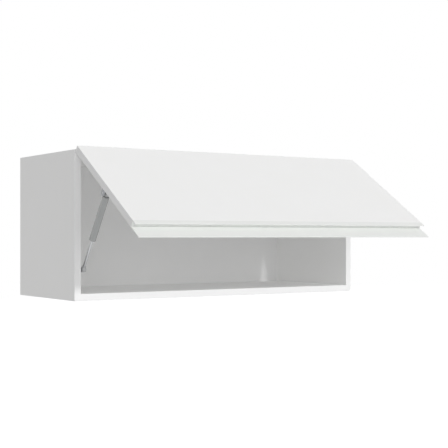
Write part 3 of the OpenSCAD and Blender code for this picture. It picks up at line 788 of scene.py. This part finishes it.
def socket(name, far):
    """A socket round a ball at the origin, open towards -X, whose neck ends at far."""
    spare = BALL_R * 1.02
    opening = math.asin(MOUTH / spare)
    hollow = [opening + (math.pi - opening) * step / 8 for step in range(8)]
    barrel = lathe(name, [
        (BARREL_R - 1.4 * MM, BARREL_W / 2), (BARREL_R - 0.3 * MM, BARREL_W / 2 - 0.4 * MM),
        (BARREL_R, BARREL_W / 2 - 1.2 * MM), (BARREL_R, 1.2 * MM - BARREL_W / 2),
        (BARREL_R - 0.3 * MM, 0.4 * MM - BARREL_W / 2), (BARREL_R - 1.2 * MM, -BARREL_W / 2),
        (MOUTH + 0.6 * MM, -BARREL_W / 2),
        *[(spare * math.sin(turn), -spare * math.cos(turn)) for turn in hollow]])
    settle(barrel, LIE_ALONG_X)
    neck = lathe("neck", [
        (NECK_R, NECK_START), (NECK_R, far - 1.6 * MM), (NECK_R - 0.4 * MM, far - 1.4 * MM),
        (NECK_R - 0.4 * MM, far - 1 * MM), (NECK_R, far - 0.8 * MM), (NECK_R, far - 0.2 * MM),
        (NECK_R - 0.2 * MM, far)])
    return weld(barrel, neck)


def plastic(name, tones, roughness, speck):
    """Moulded plastic: even colour, fine spark erosion on its skin."""
    finish = Finish(name, Specular_IOR_Level=0.45)
    skin = finish.noise(speck, 3)
    flow = finish.noise(14 * MM, 2)
    finish.feed({
        "Base Color": finish.mix(flow, tone(*tones[0]), tone(*tones[1])),
        "Roughness": roughness + 0.12 * skin})
    finish.bump(skin, 0.02 * MM)
    return finish.material


grey_plastic = plastic("grey_plastic", [(188, 189, 190), (196, 197, 198)], 0.45, 0.5 * MM)
white_plastic = plastic("white_plastic", [(234, 234, 232), (238, 238, 236)], 0.35, 0.6 * MM)

neck_end = box_of("strut_tube_socket", STRUT)[1].z
fit(settle(socket("upper_socket", neck_end), STRUT), "strut_cylinder", grey_plastic,
    "grey_plastic", "strut_tube_socket")

low, high = box_of("strut_rod_socket", STRUT)
lower_ball = high.z - BARREL_R
TURNED_ROUND = Matrix.Translation((0, 0, lower_ball)) @ Matrix.Diagonal((1, 1, -1, 1))
lower_socket = settle(socket("lower_socket", lower_ball - low.z), STRUT @ TURNED_ROUND)
edit(lower_socket)
bpy.ops.mesh.select_all(action="SELECT")
bpy.ops.mesh.normals_make_consistent(inside=False)
fit(lower_socket, "strut_plunger", grey_plastic, "grey_plastic", "strut_rod_socket")
dress("strut_gland", grey_plastic)
print("balls", round(lower_ball / MM, 1), "mm apart")

# %% Ball studs
COLLAR_R, COLLAR_T, STUD_R = 4.5 * MM, 2 * MM, 2 * MM


def ball_stud(name, collar, tail):
    """A ball at the origin on a neck towards -X, with a hexagon at collar and a riveted tail."""
    start = collar - tail
    grip = math.asin(STUD_R / BALL_R)
    turns = [grip + (math.pi - grip) * step / 12 for step in range(12)]
    shank = [(STUD_R, start), (STUD_R, collar)] if tail else [(COLLAR_R - 1 * MM, start)]
    stud = lathe(name, [
        *shank, (STUD_R, collar + COLLAR_T), (STUD_R, -BALL_R * math.cos(grip)),
        *[(BALL_R * math.sin(turn), -BALL_R * math.cos(turn)) for turn in turns[1:]]])
    hexagon = add("cylinder", "hexagon", vertices=6, radius=COLLAR_R, depth=COLLAR_T,
                  location=(0, 0, collar + COLLAR_T / 2))
    break_edges(hexagon, 0.3 * MM, shortest=3 * MM)
    return settle(weld(stud, hexagon), LIE_ALONG_X)


low, high = box_of("strut_lower_stud", STRUT)
stud = ball_stud("lower_ball_stud", low.x, 0)
settle(stud, STRUT @ Matrix.Translation((0, 0, lower_ball)))
fit(stud, "strut_plunger", rod_chrome, "rod_chrome", "strut_lower_stud")

BRACKET_T = 2 * MM
screw_steel = metal("screw_steel", (176, 177, 180), (196, 197, 200), 0.26)
low, high = box_of("strut_door_stud", STRUT)
stud = settle(ball_stud("upper_ball_stud", low.x + BRACKET_T, BRACKET_T), STRUT)
fit(stud, "flap", screw_steel, "screw_steel", "strut_door_stud")
print("studs", round((high.x - low.x) / MM, 1), "mm long")

# %% [markdown]
# ## Steel fittings
# Brackets, hinge arms, cups and hooks are pressed or folded from steel sheet and then plated.
# Their drillings come with the copy, and the press leaves their edges round. Zinc is bluish
# and dull, nickel is warmer and brighter. The strut's two brackets are a plain grey zinc.

# %% Fittings
bracket_steel = metal("bracket_steel", (150, 152, 155), (166, 168, 171), 0.38)
nickel_steel = metal("nickel_steel", (196, 195, 191), (212, 211, 207), 0.2)
zinc_steel = metal("zinc_steel", (178, 182, 186), (198, 201, 205), 0.3)
fittings = [
    # node, new name, body, finish, slot, edge, shortest edge that is broken
    ("strut_side_bracket", "side_plate", "carcass", bracket_steel, "bracket_steel", 0.3, 1.2),
    ("strut_door_bracket", "flap_foot", "flap", bracket_steel, "bracket_steel", 0.3, 1.2),
    ("hinge_plates", "mounting_plates", "carcass", nickel_steel, "nickel_steel", 0.3, 1.2),
    ("hinge_arms", "hinge_channels", "carcass", nickel_steel, "nickel_steel", 0.25, 1),
    ("hinge_cups", "flap_cups", "flap", nickel_steel, "nickel_steel", 0.2, 1),
    ("hanger_hooks", "wall_hooks", "carcass", zinc_steel, "zinc_fitting", 0.4, 1),
    ("hanger_adjusters", "adjusting_screws", "carcass", screw_steel, "screw_steel", 0.15, 1),
    ("hanger_case_left", "left_hanger_case", "carcass", white_plastic, "white_plastic", 0.6, 3),
    ("hanger_case_right", "right_hanger_case", "carcass", white_plastic, "white_plastic", 0.6, 3)]
for node, name, body, material, slot, width, shortest in fittings:
    fit(copy_of(node, name, width * MM, shortest * MM), body, material, slot, node)
    print(name)

# %% [markdown]
# ## Screws
# A wood screw has a flat head, a cross recess and a coarse thread. One is turned on the lathe
# for each set, its recess is cut, and it is copied to the place and direction of each screw of
# the construction, each copy with its own mesh. The rings of the thread are closed, because
# they lie hidden in the board.


# %% Screw maker
def cross_recess(radius, depth):
    """Two crossed blades that narrow downwards, for cutting a recess at z = 0."""
    blades = []
    for size in ((radius, 0.5 * MM), (0.5 * MM, radius)):
        blade = add_box("blade", (-size[0], -size[1], -1 * MM), (size[0], size[1], depth))
        edit(blade)
        pick_faces(lambda middle, normal: normal.z > 0.9)
        bpy.ops.transform.resize(value=(0.6, 0.6, 1), center_override=(0, 0, depth))
        bpy.ops.object.mode_set(mode="OBJECT")
        blades.append(blade)
    return weld(*blades)


def wood_screw(head_r, shank_r, length):
    """A screw that points up, with the face of its head at z = 0."""
    PITCH = 1.8 * MM
    neck = head_r - shank_r
    tip = length - 2 * shank_r
    rings = int((tip - neck) / PITCH)
    core = shank_r * 0.72
    thread = [(radius, neck + (ring + share) * PITCH)
              for ring in range(rings) for radius, share in ((core, 0.2), (shank_r, 0.5), (core, 0.8))]
    screw = lathe("screw", [
        (head_r - 0.15 * MM, 0), (head_r, 0.15 * MM), (shank_r, neck), *thread,
        (core, tip), (0.2 * MM, length)], sides=32)
    return cut_out(screw, cross_recess(head_r * 0.55, neck * 0.6))


def pan_screw(head_r, shank_r, length, head_t):
    """A machine screw that points up, with the face of its head at z = 0."""
    screw = lathe("screw", [
        (head_r - 0.7 * MM, 0), (head_r - 0.2 * MM, 0.25 * MM), (head_r, 0.8 * MM), (head_r, head_t),
        (shank_r, head_t), (shank_r, length - 0.4 * MM), (shank_r - 0.4 * MM, length)], sides=32)
    return cut_out(screw, cross_recess(head_r * 0.6, head_t * 0.6))


def set_in(model, node, name, direction_at, place=UPRIGHT):
    """Copy a model that points up to each solid of a node, pointing as direction_at says."""
    copies = []
    for low, high in boxes_of(node, place):
        direction = direction_at((low + high) / 2)
        foot = (low + high) / 2 - direction * abs((high - low).dot(direction)) / 2
        copy = bpy.data.objects.new("copy", model.data.copy())
        scene.collection.objects.link(copy)
        turn = direction.to_track_quat("Z", "X").to_matrix().to_4x4()
        copies.append(settle(copy, place @ Matrix.Translation(foot) @ turn))
    bpy.data.objects.remove(model)
    return gather(name, copies)


print("screws point along the set's direction")


# %% Screws
def outwards(middle):
    return X if middle.x > 0 else -X


screw_sets = [
    # node, new name, body, frame, direction, shank radius in mm
    ("hinge_plate_screws", "plate_screws", "carcass", UPRIGHT, lambda middle: Z, 2.5),
    ("strut_side_screws", "side_plate_screws", "carcass", UPRIGHT, outwards, 2),
    ("hanger_screws", "hanger_case_screws", "carcass", UPRIGHT, outwards, 2),
    ("hinge_cup_screws", "cup_screws", "flap", FLAP, lambda middle: -Y, 1.75),
    ("strut_door_screws", "flap_foot_screws", "flap", FLAP, lambda middle: -Y, 2)]
for node, name, body, place, direction_at, shank in screw_sets:
    low, high = boxes_of(node, place)[0]
    size = sorted(high - low)
    screw = wood_screw(size[0] / 2, shank * MM, size[2])
    fit(set_in(screw, node, name, direction_at, place), body, screw_steel, "screw_steel", node)
    print(name)

low, high = boxes_of("hinge_arm_screws")[0]
PAN_T = 2 * MM
arm_screw = pan_screw((high.x - low.x) / 2, 2 * MM, high.z - low.z, PAN_T)
fit(set_in(arm_screw, "hinge_arm_screws", "arm_screws", lambda middle: Z), "carcass",
    screw_steel, "screw_steel", "hinge_arm_screws")

# %% [markdown]
# ## Caps, nails and bumpers
# Small round things finish the cabinet. White caps hide the cam locks on the outer faces of
# the top and the bottom. Nails hold the back panel. Two clear bumpers on the flap keep it from
# knocking on the sides: they are drops of soft rubber, flat where they are glued.

# %% Caps, nails and bumpers
low, high = boxes_of("cam_caps")[0]
cap_r, cap_t = (high.x - low.x) / 2, high.z - low.z
cap = lathe("cap", [
    (cap_r * 0.5, 0.12 * MM), (cap_r - 0.9 * MM, 0.05 * MM), (cap_r - 0.5 * MM, 0), (cap_r - 0.12 * MM, 0.1 * MM),
    (cap_r, 0.35 * MM), (cap_r, cap_t)])
fit(set_in(cap, "cam_caps", "cover_caps", lambda middle: -Z if middle.z > 0 else Z), "carcass",
    white_plastic, "white_plastic", "cam_caps")

low, high = boxes_of("back_panel_nails")[0]
nail_r, nail_l = (high.x - low.x) / 2, high.y - low.y
nail = lathe("nail", [
    (nail_r - 0.15 * MM, 0), (nail_r, 0.2 * MM), (nail_r, nail_l - 2.5 * MM), (0.15 * MM, nail_l)], sides=16)
fit(set_in(nail, "back_panel_nails", "panel_nails", lambda middle: -Y), "carcass",
    screw_steel, "screw_steel", "back_panel_nails")

low, high = boxes_of("door_bumpers", FLAP)[0]
drop_r, drop_t = (high.x - low.x) / 2, high.y - low.y
drop = lathe("drop", [
    (drop_r, 0), (drop_r, drop_t * 0.35), (drop_r * 0.93, drop_t * 0.62), (drop_r * 0.78, drop_t * 0.84),
    (drop_r * 0.5, drop_t * 0.96), (drop_r * 0.15, drop_t)])
rubber = Finish("clear_rubber", Specular_IOR_Level=0.5, Transmission_Weight=0.6, IOR=1.45)
rubber_haze = rubber.noise(1.5 * MM, 2)
rubber.feed({
    "Base Color": rubber.mix(rubber_haze, tone(222, 226, 228), tone(232, 235, 236)),
    "Roughness": 0.22 + 0.15 * rubber_haze})
rubber.bump(rubber_haze, 0.01 * MM)
fit(set_in(drop, "door_bumpers", "rubber_drops", lambda middle: Y, FLAP), "flap",
    rubber.material, "clear_rubber", "door_bumpers")
print("bumpers", round(drop_t / MM, 1), "mm thick")

# %% [markdown]
# ## What stays hidden
# Dowels, cam bolts, cam locks, hinge pins and the strut's piston sit inside other pieces. Their
# construction shapes are right as they are, so they only get a finish.

# %% Hidden pieces
beech = Finish("beech", Specular_IOR_Level=0.3)
flecks = beech.noise(0.7 * MM, 4, stretch=(9, 1, 1))
beech_cloud = beech.noise(8 * MM, 2, stretch=(3, 1, 1))
beech.feed({
    "Base Color": beech.mix(0.6 * flecks + 0.4 * beech_cloud, tone(186, 146, 100), tone(224, 190, 146)),
    "Roughness": 0.6 + 0.15 * flecks})
beech.bump(flecks, 0.05 * MM)
dress("wood_dowels", beech.material)
dress("cam_bolts", zinc_steel)
dress("cam_locks", zinc_steel)
dress("hinge_pins", screw_steel)
dress("strut_piston", screw_steel)
print("all", len(nodes), "pieces have a finish")
